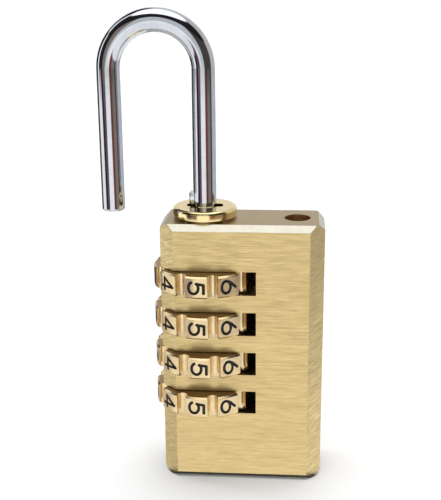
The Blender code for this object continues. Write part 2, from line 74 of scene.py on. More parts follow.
CORNER_CHAMFER = 2.65
RIM_CHAMFER = 1.1
EDGE_ROUND = 0.12
SLOT_HEIGHT = 4.5
SLOT_DROP = 0.1
SLOT_CUTTER_RADIUS = 20.0
SLOT_END_X = 3.75
BORE_RADIUS = 4.9
TOE_X = 10.0
TOE_HOLE_RADIUS = 2.4
TOE_HOLE_BOTTOM = 42.6
DETENT_TURN = math.radians(-5.6)
DETENT_REACH = 12.3
DETENT_RADIUS = 1.9
DETENT_TOP = 42.4
PIN_HOLE_RADIUS = 0.7
TOE_HOLE_SIDES = 64
SMALL_BORE_SIDES = 48
PIN_HOLE_SIDES = 32
SLOT_SIDES = 360

ROD_RADIUS = 2.1
LEG_SPACING = 17.0
HEEL_END = 9.6
END_CHAMFER = 0.3
TOE_ROUND = 0.32
TOE_ROUND_STEPS = 5
LEG_STRAIGHT = 12.0
ARCH_STEPS = 96
ROD_SIDES = 64
SPRING_BORE_RADIUS = 1.25
SPRING_BORE_DEPTH = 9.6
RING_GROOVE_RADIUS = 1.65
RING_PLAY = 0.1
LUG_REACH = 2.8
LUG_WIDTH = 1.9
LUG_HEIGHT = 2.3
LUG_CLEARANCE = 0.25
LUG_ROUND = 0.2
FIN_REACH = 3.1
FIN_SIZE = 1.2
FIN_ROUND = 0.12
HEEL_BLOCK_SEGMENTS = 3

COLLAR_LIFT = 0.45
COLLAR_WEB = 0.2
COLLAR_TOP_EDGE = 0.6
COLLAR_TOP_EDGE_STEPS = 14
COLLAR_BOTTOM_EDGE = 0.15
COLLAR_BOTTOM_EDGE_STEPS = 5
COLLAR_SIDES = 160
COLLAR_SLOT_REACH = 3.35
COLLAR_SLOT_HALF = 1.15
COLLAR_SLOT_CORNER = 0.8
COLLAR_SLOT_CORNER_STEPS = 6
SKIRT_RADIUS = 4.75
SKIRT_BORE = 3.4
HUB_BORE = 2.35

WHEEL_HEIGHT = 4.1
WHEEL_RADIUS = 9.7
WHEEL_EDGE_BEVEL = 0.3
WHEEL_EDGE_ROUND = 0.05
WHEEL_EDGE_ANGLE = 22.0
FLUTE_REACH = 9.35
FLUTE_RADIUS = 1.0
FLUTE_STEPS = 28
PAD_STEPS = 10
WHEEL_BORE_RADIUS = 4.95
WHEEL_BORE_SIDES = 72
BARREL_SIDES = 250
BARREL_CORE = 1.0
BARREL_SKIN = 0.001
FRONT_PAD_TURN = math.radians(-5.6)
WHEEL_PLAY = [math.radians(turn) for turn in (0.0, 0.0, 1.9, -1.5)]
DIGIT_PITCH = math.radians(36.0)

DIGIT_TALL = 3.3
DIGIT_WIDE = 2.85
STROKE_RADIUS = 0.275
STROKE_SIDES = 12
STROKE_END_RINGS = (30, 55, 75)
DIGITS = 10
FRONT_DIGIT = 5
SAME_POINT = 0.001

OVERCUT = 1.0
MERGE = 0.0005
ROUND_SIDES = 96
EDGE_SEGMENTS = 2
EDGE_ANGLE = 25.0
FACET_ANGLE = 9.0
ROD_ANGLE = 30.0

# Telling faces apart: how far in from the outside a bore's or a slot's face is, and how much
# of a face's normal lies along an axis, at the least, on the body's square faces, on its rim
# chamfers and on a wheel's ends.
INSET = 0.25
FLAT = 0.9
SLOPING = 0.4
WHEEL_FLAT = 0.95

# ------------------------------------------------ mesh helpers


def new_object(name, bm):
    mesh = bpy.data.meshes.new(name)
    bm.normal_update()
    bm.to_mesh(mesh)
    bm.free()
    thing = bpy.data.objects.new(name, mesh)
    bpy.context.scene.collection.objects.link(thing)
    return thing


def prism(name, outline, low, high, matrix=None):
    """A flat outline, (x, y) points running anticlockwise, raised from low to high."""
    bm = bmesh.new()
    face = bm.faces.new([bm.verts.new((x, y, low)) for x, y in outline])
    grown = bmesh.ops.extrude_face_region(bm, geom=[face])
    tops = [item for item in grown["geom"] if isinstance(item, bmesh.types.BMVert)]
    bmesh.ops.translate(bm, verts=tops, vec=(0.0, 0.0, high - low))
    bmesh.ops.recalc_face_normals(bm, faces=bm.faces)
    if matrix:
        bmesh.ops.transform(bm, matrix=matrix, verts=bm.verts)
    return new_object(name, bm)


def polar(radius, angle):
    return (radius * math.cos(angle), radius * math.sin(angle))


def circle(radius, count, at=(0.0, 0.0)):
    turn = 2 * math.pi / count
    return [
        (at[0] + radius * math.cos(k * turn), at[1] + radius * math.sin(k * turn))
        for k in range(count)
    ]


def drum(name, radius, low, high, at=(0.0, 0.0), count=ROUND_SIDES):
    return prism(name, circle(radius, count, at), low, high)


def block(name, low, high):
    return prism(
        name,
        [(low[0], low[1]), (high[0], low[1]), (high[0], high[1]), (low[0], high[1])],
        low[2],
        high[2],
    )


def lathe(name, profile, at, count):
    """A closed (radius, z) profile turned about the upright axis at a place in plan."""
    bm = bmesh.new()
    rings = []
    for k in range(count):
        turn = 2 * math.pi * k / count
        rings.append(
            [
                bm.verts.new((at[0] + r * math.cos(turn), at[1] + r * math.sin(turn), z))
                for r, z in profile
            ]
        )
    size = len(profile)
    for k in range(count):
        here, there = rings[k], rings[(k + 1) % count]
        for j in range(size):
            n = (j + 1) % size
            bm.faces.new((here[j], there[j], there[n], here[n]))
    bmesh.ops.recalc_face_normals(bm, faces=bm.faces)
    return new_object(name, bm)


def arc(centre, radii, start, end, steps):
    """Points along a circular arc, or an elliptical one of two radii; angles in degrees."""
    if isinstance(radii, float):
        radii = (radii, radii)
    points = []
    for k in range(steps + 1):
        turn = math.radians(start + (end - start) * k / steps)
        points.append(
            (centre[0] + radii[0] * math.cos(turn), centre[1] + radii[1] * math.sin(turn))
        )
    return points


def apply_modifiers(thing):
    depsgraph = bpy.context.evaluated_depsgraph_get()
    mesh = bpy.data.meshes.new_from_object(thing.evaluated_get(depsgraph))
    thing.modifiers.clear()
    old = thing.data
    thing.data = mesh
    bpy.data.meshes.remove(old)
    return thing


def combine(thing, tool, operation="DIFFERENCE", own_material=False, tangled=False):
    """Cut or join with a tool, which is used up."""
    modifier = thing.modifiers.new("combine", "BOOLEAN")
    modifier.operation = operation
    modifier.object = tool
    modifier.solver = "EXACT"
    modifier.use_self = tangled
    if own_material:
        modifier.material_mode = "TRANSFER"
    apply_modifiers(thing)
    bpy.data.objects.remove(tool)
    return thing


def round_edges(thing, width, segments=EDGE_SEGMENTS, angle=EDGE_ANGLE):
    modifier = thing.modifiers.new("round", "BEVEL")
    modifier.width = width
    modifier.segments = segments
    modifier.limit_method = "ANGLE"
    modifier.angle_limit = math.radians(angle)
    return apply_modifiers(thing)


def tidy_mesh(thing):
    bm = bmesh.new()
    bm.from_mesh(thing.data)
    bmesh.ops.remove_doubles(bm, verts=bm.verts, dist=MERGE)
    bmesh.ops.dissolve_degenerate(bm, edges=bm.edges, dist=MERGE)
    bm.to_mesh(thing.data)
    bm.free()


def place(thing, body, node, angle, location=(0.0, 0.0, 0.0), turn=0.0):
    """Turn the finished piece, scale it to metres, shade it, and hang it on its body."""
    mesh = thing.data
    mesh.transform(Matrix.Scale(MM, 4) @ Matrix.Rotation(turn, 4, "Z"))
    mesh.shade_smooth()
    mesh.set_sharp_from_angle(angle=math.radians(angle))
    thing.location = Vector(location) * MM
    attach(thing, body)
    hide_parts(node)


# ------------------------------------------------ materials


class Nodes:
    """Short calls for building one material's node tree."""

    def __init__(self, name, metallic, roughness, colour):
        self.material = bpy.data.materials.new(name)
        self.material.use_nodes = True
        self.tree = self.material.node_tree
        self.shader = self.tree.nodes["Principled BSDF"]
        self.shader.inputs["Metallic"].default_value = metallic
        self.shader.inputs["Roughness"].default_value = roughness
        self.shader.inputs["Base Color"].default_value = (*colour, 1.0)
        self.coordinates = self.add("ShaderNodeTexCoord").outputs["Object"]

    def add(self, kind, **settings):
        node = self.tree.nodes.new(kind)
        for key, value in settings.items():
            setattr(node, key, value)
        return node

    def link(self, source, target):
        self.tree.links.new(source, target)

    def noise(self, scale, detail, roughness, stretch=(1.0, 1.0, 1.0), turn=(0.0, 0.0, 0.0)):
        """Noise of 1/scale metres a cell, stretched along its own axes and then turned."""
        mapping = self.add("ShaderNodeMapping", vector_type="TEXTURE")
        mapping.inputs["Scale"].default_value = stretch
        mapping.inputs["Rotation"].default_value = turn
        self.link(self.coordinates, mapping.inputs["Vector"])
        node = self.add("ShaderNodeTexNoise")
        node.inputs["Scale"].default_value = scale
        node.inputs["Detail"].default_value = detail
        node.inputs["Roughness"].default_value = roughness
        self.link(mapping.outputs["Vector"], node.inputs["Vector"])
        return node.outputs["Fac"]

    def spread(self, value, span, onto=(0.0, 1.0)):
        """Carries a span of values evenly onto another, and holds the rest at its ends."""
        node = self.add("ShaderNodeMapRange")
        for key, number in zip(("From Min", "From Max", "To Min", "To Max"), (*span, *onto)):
            node.inputs[key].default_value = number
        self.link(value, node.inputs["Value"])
        return node.outputs["Result"]

    def blend(self, factor, first, second):
        """Mix of two colours."""
        node = self.add("ShaderNodeMix", data_type="RGBA")
        for key, colour in (("A", first), ("B", second)):
            socket = [s for s in node.inputs if s.name == key and s.type == "RGBA"][0]
            socket.default_value = (*colour, 1.0)
        factor_socket = [s for s in node.inputs if s.name == "Factor" and s.type == "VALUE"][0]
        self.link(factor, factor_socket)
        return [s for s in node.outputs if s.type == "RGBA"][0]

    def sum(self, first, second, weight):
        node = self.add("ShaderNodeMath", operation="MULTIPLY_ADD")
        self.link(second, node.inputs[0])
        node.inputs[1].default_value = weight
        self.link(first, node.inputs[2])
        return node.outputs["Value"]

    def bump(self, height, strength, depth_mm):
        node = self.add("ShaderNodeBump")
        node.inputs["Strength"].default_value = strength
        node.inputs["Distance"].default_value = depth_mm * MM
        self.link(height, node.inputs["Height"])
        self.link(node.outputs["Normal"], self.shader.inputs["Normal"])

    def colour(self, output):
        self.link(output, self.shader.inputs["Base Color"])

    def roughness(self, output):
        self.link(output, self.shader.inputs["Roughness"])


# Noise cells to the metre.
LINE_CELLS = 8500.0
BAND_CELLS = 3800.0
MARK_CELLS = 3500.0
GRAIN_CELLS = 7000.0
SPECK_CELLS = 2500.0
STAIN_CELLS = 400.0
PATCH_CELLS = 300.0
CLOUD_CELLS = 120.0

# How a handling mark is drawn out along each axis.
MARK_STRETCH = (1.0, 1.0, 0.25)

# Depth of relief, in millimetres.
CORNER_LINES = 0.012
BRUSH_LINES = 0.004
BLASTED = 0.01
TURNED = 0.004
DRAWN_WIRE = 0.003
POLISHED = 0.002
PLATED = 0.001


def brushed_metal(name, light, dark, stretch, roughness, turn=(0.0, 0.0, 0.0), depth=BRUSH_LINES):
    """Brass with brush lines along the axis that stretch makes long."""
    nodes = Nodes(name, metallic=1.0, roughness=roughness[0], colour=light)
    fine = nodes.noise(LINE_CELLS, detail=2.0, roughness=0.6, stretch=stretch, turn=turn)
    broad = nodes.noise(BAND_CELLS, detail=3.0, roughness=0.7, stretch=stretch, turn=turn)
    lines = nodes.sum(fine, broad, weight=1.2)
    cloud = nodes.noise(CLOUD_CELLS, detail=3.0, roughness=0.5)
    tone = nodes.sum(lines, cloud, weight=0.35)
    nodes.colour(nodes.blend(nodes.spread(tone, (0.85, 1.7)), dark, light))
    nodes.roughness(nodes.spread(lines, (0.8, 1.4), roughness[::-1]))
    nodes.bump(lines, strength=0.6, depth_mm=depth)
    return nodes.material


def polished_metal(name, light, dark, roughness, depth=POLISHED):
    """Bright metal with faint handling marks."""
    nodes = Nodes(name, metallic=1.0, roughness=roughness[0], colour=light)
    stain = nodes.noise(STAIN_CELLS, detail=4.0, roughness=0.6)
    marks = nodes.noise(MARK_CELLS, detail=2.0, roughness=0.5, stretch=MARK_STRETCH)
    nodes.colour(nodes.blend(nodes.spread(stain, (0.35, 0.7)), light, dark))
    nodes.roughness(nodes.spread(marks, (0.35, 0.7), roughness))
    nodes.bump(marks, strength=0.35, depth_mm=depth)
    return nodes.material


def matt_metal(name, light, dark, roughness, depth=BLASTED):
    """Dull metal with a fine grain."""
    nodes = Nodes(name, metallic=1.0, roughness=roughness[0], colour=light)
    grain = nodes.noise(GRAIN_CELLS, detail=3.0, roughness=0.6)
    patch = nodes.noise(PATCH_CELLS, detail=3.0, roughness=0.5)
    tone = nodes.sum(grain, patch, weight=0.8)
    nodes.colour(nodes.blend(nodes.spread(tone, (0.6, 1.2)), dark, light))
    nodes.roughness(nodes.spread(patch, (0.3, 0.7), roughness))
    nodes.bump(grain, strength=0.5, depth_mm=depth)
    return nodes.material


def black_enamel():
    """The paint in the digits."""
    dark, light = (0.004, 0.004, 0.005), (0.02, 0.018, 0.016)
    nodes = Nodes("black_enamel", metallic=0.0, roughness=0.35, colour=(0.006, 0.006, 0.007))
    speck = nodes.noise(SPECK_CELLS, detail=3.0, roughness=0.6)
    nodes.colour(nodes.blend(speck, dark, light))
    nodes.roughness(nodes.spread(speck, (0.3, 0.7), (0.3, 0.5)))
    return nodes.material


BRASS_LIGHT = (0.83, 0.63, 0.30)
BRASS_DARK = (0.60, 0.44, 0.19)
BRUSH_X = (22.0, 1.0, 1.0)
BRUSH_Y = (1.0, 22.0, 1.0)
BRUSH_CORNER = (8.0, 30.0, 1.0)
CORNER_TURN = (0.0, math.radians(-28.0), 0.0)

BRUSHED_FRONT = brushed_metal("brass_brushed_front", BRASS_LIGHT, BRASS_DARK, BRUSH_X, (0.28, 0.46))
BRUSHED_SIDE = brushed_metal("brass_brushed_side", BRASS_LIGHT, BRASS_DARK, BRUSH_Y, (0.28, 0.46))
BRUSHED_CORNER = brushed_metal(
    "brass_brushed_corner",
    (0.92, 0.72, 0.37),
    (0.50, 0.37, 0.16),
    BRUSH_CORNER,
    (0.26, 0.42),
    CORNER_TURN,
    CORNER_LINES,
)
MATT_TOP = matt_metal("brass_matt", (0.59, 0.46, 0.27), (0.47, 0.355, 0.205), (0.34, 0.46))
POLISHED_RIM = polished_metal(
    "brass_polished_rim", (0.61, 0.59, 0.50), (0.56, 0.53, 0.43), (0.2, 0.3)
)
# Dark brass on the slots' walls: painted shade of the recesses round the wheels.
SLOT_BRASS_PAINTED_SHADE = matt_metal("brass_slot_painted_shade", (0.30, 0.20, 0.10), (0.17, 0.11, 0.05), (0.35, 0.5))
# Brass lighter than the body's on the bores' walls: painted light seen down the holes.
BORE_BRASS_PAINTED_LIGHT = matt_metal("brass_bore_painted_light", (0.97, 0.76, 0.50), (0.86, 0.60, 0.36), (0.25, 0.4))
WHEEL_BRASS = polished_metal("brass_wheel", (0.88, 0.70, 0.41), (0.69, 0.51, 0.28), (0.14, 0.28))
# Darker brass on the wheels' flat ends: painted shade of the slots that they turn in.
WHEEL_END_PAINTED_SHADE = matt_metal("brass_wheel_end_painted_shade", (0.56, 0.40, 0.20), (0.38, 0.26, 0.13), (0.3, 0.42))
GOLD = polished_metal("gold_plate", (0.97, 0.79, 0.42), (0.92, 0.72, 0.34), (0.12, 0.2))
CHROME = polished_metal("chrome_plate", (0.65, 0.66, 0.69), (0.58, 0.59, 0.62), (0.05, 0.12), PLATED)
STEEL = matt_metal("turned_steel", (0.56, 0.57, 0.58), (0.42, 0.43, 0.44), (0.28, 0.4), TURNED)
SPRING_STEEL = matt_metal(
    "spring_steel", (0.36, 0.36, 0.38), (0.25, 0.25, 0.27), (0.25, 0.35), DRAWN_WIRE
)
ENAMEL = black_enamel()

# ------------------------------------------------ body


def chamfered(low, high, cut):
    """A rectangle with its corners cut at 45 degrees, anticlockwise."""
    (x0, y0), (x1, y1) = low, high
    return [
        (x0 + cut, y0),
        (x1 - cut, y0),
        (x1, y0 + cut),
        (x1, y1 - cut),
        (x1 - cut, y1),
        (x0 + cut, y1),
        (x0, y1 - cut),
        (x0, y0 + cut),
    ]


def rising_forward(x=0.0, y=0.0, z=0.0):
    """Stands a prism's outline up in the XZ plane, so that it rises towards the front."""
    return Matrix(((1, 0, 0, x), (0, 0, -1, y), (0, 1, 0, z), (0, 0, 0, 1)))


def rising_right():
    """Stands a prism's outline up in the YZ plane, so that it rises towards the right."""
    return Matrix(((0, 0, 1, 0), (1, 0, 0, 0), (0, 1, 0, 0), (0, 0, 0, 1)))


def body_block():
    """A block with chamfered corners, then the rim chamfers from the front and the side."""
    low, high = BODY_LOW, BODY_HIGH
    plan = chamfered((low.x, low.y), (high.x, high.y), CORNER_CHAMFER)
    front = chamfered((low.x, low.z), (high.x, high.z), RIM_CHAMFER)
    side = chamfered((low.y, low.z), (high.y, high.z), RIM_CHAMFER)
    deep, wide = high.y + OVERCUT, high.x + OVERCUT
    body = prism("padlock_body", plan, low.z, high.z)
    combine(body, prism("rim_front", front, -deep, deep, rising_forward()), "INTERSECT")
    return combine(body, prism("rim_side", side, -wide, wide, rising_right()), "INTERSECT")


def cut_bores(body):
    top = BODY_HIGH.z + OVERCUT
    combine(body, drum("toe_hole", TOE_HOLE_RADIUS, TOE_HOLE_BOTTOM, top, (TOE_X, 0.0), TOE_HOLE_SIDES))
    combine(body, drum("heel_bore", BORE_RADIUS, -OVERCUT, top, (HEEL_X, 0.0)))
    x, y = polar(DETENT_REACH, DETENT_TURN)
    detent = (HEEL_X + x, y)
    combine(body, drum("detent_bore", DETENT_RADIUS, -OVERCUT, DETENT_TOP, detent, SMALL_BORE_SIDES))
    pin_z = (PIN_LOW.z + PIN_HIGH.z) / 2
    at = rising_forward(HEEL_X, BODY_HIGH.y + OVERCUT, pin_z)
    combine(body, prism("pin_hole", circle(PIN_HOLE_RADIUS, PIN_HOLE_SIDES), 0.0, BODY_HIGH.y, at))


def cut_slots(body):
    at = (SLOT_END_X - SLOT_CUTTER_RADIUS, 0.0)
    for z in WHEEL_Z:
        low = z - SLOT_DROP - SLOT_HEIGHT / 2
        combine(body, drum("slot", SLOT_CUTTER_RADIUS, low, low + SLOT_HEIGHT, at, SLOT_SIDES))


def inside_circle(point, at, radius):
    return math.hypot(point.x - at[0], point.y - at[1]) < radius


def face_material(face):
    """Which finish a face of the body has, by where it is and which way it looks. The slots' faces get
    dark brass as painted shade, and the bores' faces light brass as painted light.
    """
    point, normal = face.center, face.normal
    corner = BODY_HIGH.x + BODY_HIGH.y - CORNER_CHAMFER
    inside = abs(point.x) + abs(point.y) < corner - INSET
    inside &= all(BODY_LOW[k] + INSET < point[k] < BODY_HIGH[k] - INSET for k in range(3))
    # Faces down the bores take the painted light.
    if inside and inside_circle(point, (TOE_X, 0.0), TOE_HOLE_RADIUS + INSET):
        return "bore"
    if inside and inside_circle(point, (HEEL_X, 0.0), BORE_RADIUS + INSET):
        return "bore"
    # Faces inside the wheels' slots take the painted shade.
    if inside and any(abs(point.z - z + SLOT_DROP) < SLOT_HEIGHT / 2 + EDGE_ROUND for z in WHEEL_Z):
        return "slot"
    if abs(normal.z) > FLAT:
        return "top"
    if abs(normal.z) > SLOPING:
        return "rim"
    if abs(normal.y) > FLAT:
        return "front"
    return "side" if abs(normal.x) > FLAT else "corner"


def make_body():
    body = body_block()
    cut_bores(body)
    cut_slots(body)
    tidy_mesh(body)
    round_edges(body, EDGE_ROUND)
    finishes = {
        "front": BRUSHED_FRONT,
        "side": BRUSHED_SIDE,
        "corner": BRUSHED_CORNER,
        "top": MATT_TOP,
        "rim": POLISHED_RIM,
        # The slot finish is painted shade, and the bore finish is painted light.
        "slot": SLOT_BRASS_PAINTED_SHADE,
        "bore": BORE_BRASS_PAINTED_LIGHT,
    }
    body.data.materials.clear()
    for finish in finishes.values():
        body.data.materials.append(finish)
    order = list(finishes)
    for face in body.data.polygons:
        face.material_index = order.index(face_material(face))
    place(body, "lock_body", "lock_body", FACET_ANGLE)


# ------------------------------------------------ shackle


def shackle_centre_line():
    """(x, z, radius) from the heel's end, over the arch, to the toe's end."""
    half = LEG_SPACING / 2
    arch_z = SHACKLE_TOP - ROD_RADIUS - half
    toe_z = node_toe_z()
    line = [
        (HEEL_X, HEEL_END, ROD_RADIUS - END_CHAMFER),
        (HEEL_X, HEEL_END + END_CHAMFER, ROD_RADIUS),
        (HEEL_X, HEEL_END + 2 * END_CHAMFER, ROD_RADIUS),
        (HEEL_X, arch_z - LEG_STRAIGHT, ROD_RADIUS),
    ]
    for k in range(ARCH_STEPS + 1):
        turn = math.pi * k / ARCH_STEPS
        line.append(
            (HEEL_X - half + half * math.cos(turn), arch_z + half * math.sin(turn), ROD_RADIUS)
        )
    toe_x = HEEL_X - LEG_SPACING
    line.append((toe_x, arch_z - LEG_STRAIGHT, ROD_RADIUS))
    line.append((toe_x, toe_z + 2 * TOE_ROUND, ROD_RADIUS))
    for inset, height in arc((TOE_ROUND, TOE_ROUND), TOE_ROUND, 180.0, 270.0, TOE_ROUND_STEPS):
        line.append((toe_x, toe_z + height, ROD_RADIUS - inset))
    return line


def node_toe_z():
    """Height of the toe's end: the lowest point of the shackle outside the body."""
    mesh = frame["nodes"]["shackle"].data
    beside = (BODY_LOW.x - OVERCUT) * MM
    return min(v.co.z for v in mesh.vertices if v.co.x < beside) / MM


def sweep(name, line):
    """A round rod along a line in the XZ plane."""
    bm = bmesh.new()
    rings = []
    for k, (x, z, radius) in enumerate(line):
        before = line[max(k - 1, 0)]
        after = line[min(k + 1, len(line) - 1)]
        along = Vector((after[0] - before[0], 0.0, after[1] - before[1])).normalized()
        across = Vector((0.0, 1.0, 0.0))
        out = across.cross(along)
        ring = []
        for s in range(ROD_SIDES):
            turn = 2 * math.pi * s / ROD_SIDES
            offset = out * math.cos(turn) + across * math.sin(turn)
            ring.append(bm.verts.new(Vector((x, 0.0, z)) + offset * radius))
        rings.append(ring)
    for here, there in zip(rings, rings[1:]):
        for s in range(ROD_SIDES):
            n = (s + 1) % ROD_SIDES
            bm.faces.new((here[s], here[n], there[n], there[s]))
    bm.faces.new(rings[0])
    bm.faces.new(rings[-1])
    bmesh.ops.recalc_face_normals(bm, faces=bm.faces)
    return new_object(name, bm)


def heel_block(reach, width, low, high, rounding):
    tool = block(
        "heel_block",
        (HEEL_X - reach, -width / 2, low),
        (HEEL_X - ROD_RADIUS / 2, width / 2, high),
    )
    return round_edges(tool, rounding, HEEL_BLOCK_SEGMENTS)


def cut_heel(shackle):
    """The spring's bore up the heel's end, and the groove that holds the retaining ring."""
    heel = (HEEL_X, 0.0)
    bore_top = HEEL_END + SPRING_BORE_DEPTH
    low = HEEL_END - OVERCUT
    combine(shackle, drum("spring_bore", SPRING_BORE_RADIUS, low, bore_top, heel, SMALL_BORE_SIDES))
    low, high = RING_LOW.z - RING_PLAY, RING_HIGH.z + RING_PLAY
    wide = ROD_RADIUS + OVERCUT
    profile = [(wide, high), (wide, low), (RING_GROOVE_RADIUS, low), (RING_GROOVE_RADIUS, high)]
    combine(shackle, lathe("ring_groove", profile, heel, ROUND_SIDES))


def make_shackle():
    shackle = sweep("shackle_rod", shackle_centre_line())
    lug_low = COLLAR_HIGH.z + LUG_CLEARANCE
    lug = heel_block(LUG_REACH, LUG_WIDTH, lug_low, lug_low + LUG_HEIGHT, LUG_ROUND)
    combine(shackle, lug, "UNION")
    pitch = WHEEL_Z[0] - WHEEL_Z[1]
    for z in WHEEL_Z:
        low, high = z + pitch - FIN_SIZE / 2, z + pitch + FIN_SIZE / 2
        combine(shackle, heel_block(FIN_REACH, FIN_SIZE, low, high, FIN_ROUND), "UNION")
    cut_heel(shackle)
    tidy_mesh(shackle)
    shackle.data.materials.clear()
    shackle.data.materials.append(CHROME)
    place(shackle, "shackle", "shackle", ROD_ANGLE)


# ------------------------------------------------ collar


def make_collar():
    top, bottom = COLLAR_HIGH.z, BODY_HIGH.z + COLLAR_LIFT
    rim = (COLLAR_HIGH.x - COLLAR_LOW.x) / 2
    skirt_low = COLLAR_LOW.z
    radius, steps = COLLAR_TOP_EDGE, COLLAR_TOP_EDGE_STEPS
    upper = arc((rim - radius, top - radius), radius, 90.0, 0.0, steps)
    radius, steps = COLLAR_BOTTOM_EDGE, COLLAR_BOTTOM_EDGE_STEPS
    lower = arc((rim - radius, bottom + radius), radius, 0.0, -90.0, steps)
    profile = [
        (HUB_BORE + EDGE_ROUND, top),
        *upper,
        *lower,
        (SKIRT_RADIUS, bottom),
        (SKIRT_RADIUS, skirt_low),
        (SKIRT_BORE, skirt_low),
        (SKIRT_BORE, bottom - COLLAR_WEB),
        (HUB_BORE, bottom - COLLAR_WEB),
        (HUB_BORE, top - EDGE_ROUND),
    ]
    collar = lathe("collar_ring", profile, (HEEL_X, 0.0), COLLAR_SIDES)
    slot_low = bottom - COLLAR_WEB - OVERCUT / 2
    combine(collar, prism("slots", slot_outline(), slot_low, top + OVERCUT))
    key_half = PIN_HOLE_RADIUS
    key = block(
        "keyway",
        (HEEL_X - key_half, 0.0, PIN_LOW.z - RING_PLAY),
        (HEEL_X + key_half, BODY_HIGH.y, PIN_HIGH.z + key_half),
    )
    combine(collar, key)
    collar.data.materials.clear()
    collar.data.materials.append(GOLD)
    place(collar, "reset_carriage", "reset_collar", FACET_ANGLE)


def slot_outline():
    """A long hole along X with round corners, centred on the heel."""
    corner = COLLAR_SLOT_CORNER
    along, across = COLLAR_SLOT_REACH - corner, COLLAR_SLOT_HALF - corner
    points = []
    for sign_x, sign_y, start in ((1, -1, -90), (1, 1, 0), (-1, 1, 90), (-1, -1, 180)):
        centre = (HEEL_X + sign_x * along, sign_y * across)
        points += arc(centre, corner, start, start + 90, COLLAR_SLOT_CORNER_STEPS)
    return points


# ------------------------------------------------ number wheels


def wheel_outline():
    """Round rim with ten flutes, so that ten number pads are left between them."""
    squares = WHEEL_RADIUS**2 + FLUTE_REACH**2 - FLUTE_RADIUS**2
    flute_half = math.acos(squares / (2 * WHEEL_RADIUS * FLUTE_REACH))
    corner = polar(WHEEL_RADIUS, flute_half)
    opening = math.degrees(math.atan2(corner[1], corner[0] - FLUTE_REACH))
    pitch = math.degrees(DIGIT_PITCH)
    pad_half = pitch / 2 - math.degrees(flute_half)
    points = []
    for k in range(DIGITS):
        pad = k * pitch - 90.0
        points += arc((0.0, 0.0), WHEEL_RADIUS, pad - pad_half, pad + pad_half, PAD_STEPS)
        turn = pad + pitch / 2
        centre = polar(FLUTE_REACH, math.radians(turn))
        start, end = turn - opening, turn - 360.0 + opening
        points += arc(centre, FLUTE_RADIUS, start, end, FLUTE_STEPS)[1:-1]
    return points


def digit_strokes(digit):
    """Centre lines of a digit in a unit box, u to its right and v up; no sharp corners."""
    six = [
        arc((0.5, 0.31), (0.5, 0.31), 0.0, 360.0, 32),
        [(0.03, 0.40), (0.16, 0.62), (0.60, 1.0)],
    ]
    shapes = {
        0: [arc((0.5, 0.5), (0.44, 0.5), 0.0, 360.0, 32)],
        1: [[(0.25, 0.76), (0.56, 1.0)], [(0.56, 1.0), (0.56, 0.0)]],
        2: [
            arc((0.48, 0.72), (0.40, 0.28), 165.0, -38.0, 18) + [(0.08, 0.0)],
            [(0.08, 0.0), (0.92, 0.0)],
        ],
        3: [
            [(0.12, 1.0), (0.86, 1.0)],
            [(0.86, 1.0), (0.45, 0.60)],
            arc((0.45, 0.30), (0.45, 0.30), 90.0, -140.0, 20),
        ],
        4: [
            [(0.72, 0.0), (0.72, 1.0)],
            [(0.72, 1.0), (0.02, 0.27)],
            [(0.02, 0.27), (1.0, 0.27)],
        ],
        5: [
            [(0.92, 1.0), (0.22, 1.0)],
            [(0.22, 1.0), (0.14, 0.52)],
            arc((0.48, 0.33), (0.48, 0.33), 138.0, -155.0, 24),
        ],
        6: six,
        7: [[(0.06, 1.0), (0.92, 1.0)], [(0.92, 1.0), (0.36, 0.0)]],
        8: [
            arc((0.5, 0.75), (0.35, 0.25), -90.0, 270.0, 24),
            arc((0.5, 0.26), (0.46, 0.26), 90.0, 450.0, 28),
        ],
        9: [[(1.0 - u, 1.0 - v) for u, v in stroke] for stroke in six],
    }
    return shapes[digit]


def rim_point(digit, u, v):
    """Where a digit's point lies on the rim: u runs down the wheel, v round it."""
    along = (v - 0.5) * (DIGIT_TALL - 2 * STROKE_RADIUS)
    angle = (digit - FRONT_DIGIT) * DIGIT_PITCH - math.pi / 2 + along / WHEEL_RADIUS
    x, y = polar(WHEEL_RADIUS, angle)
    return Vector((x, y, (0.5 - u) * (DIGIT_WIDE - 2 * STROKE_RADIUS)))


def add_stroke(bm, points, closed):
    """A round tube through points on the rim, with ball ends unless it is closed."""
    rings = []
    last = len(points) - 1
    for k, point in enumerate(points):
        before = points[k - 1] if k or closed else point
        after = points[(k + 1) % len(points)] if k < last or closed else point
        along = (after - before).normalized()
        outward = Vector((point.x, point.y, 0.0)).normalized()
        across = along.cross(outward).normalized()
        rings.append((point, along, outward, across, STROKE_RADIUS))
    if not closed:
        rings = ball_end(rings[0], -1) + rings + ball_end(rings[-1], 1)
    loops = []
    for point, _, outward, across, radius in rings:
        loop = []
        for x, y in circle(radius, STROKE_SIDES):
            loop.append(bm.verts.new(point + outward * x + across * y))
        loops.append(loop)
    following = loops[1:] + loops[:1] if closed else loops[1:]
    for here, there in zip(loops, following):
        for side in range(STROKE_SIDES):
            n = (side + 1) % STROKE_SIDES
            bm.faces.new((here[side], here[n], there[n], there[side]))
    if not closed:
        bm.faces.new(loops[0])
        bm.faces.new(loops[-1])


def ball_end(ring, way):
    """Shrinking rings that round off a tube's end, in the order that the tube runs."""
    point, along, outward, across, radius = ring
    rounding = []
    for degrees in STROKE_END_RINGS:
        turn = math.radians(degrees)
        centre = point + along * (way * radius * math.sin(turn))
        rounding.append((centre, along, outward, across, radius * math.cos(turn)))
    return rounding if way > 0 else rounding[::-1]


def engraving_tool():
    """Every digit's strokes as round-nosed cuts, in one object."""
    bm = bmesh.new()
    for digit in range(DIGITS):
        for stroke in digit_strokes(digit):
            points = [rim_point(digit, u, v) for u, v in stroke]
            closed = (points[0] - points[-1]).length < SAME_POINT
            add_stroke(bm, points[:-1] if closed else points, closed)
    bmesh.ops.recalc_face_normals(bm, faces=bm.faces)
    tool = new_object("engraving", bm)
    tool.data.materials.append(ENAMEL)
    return tool


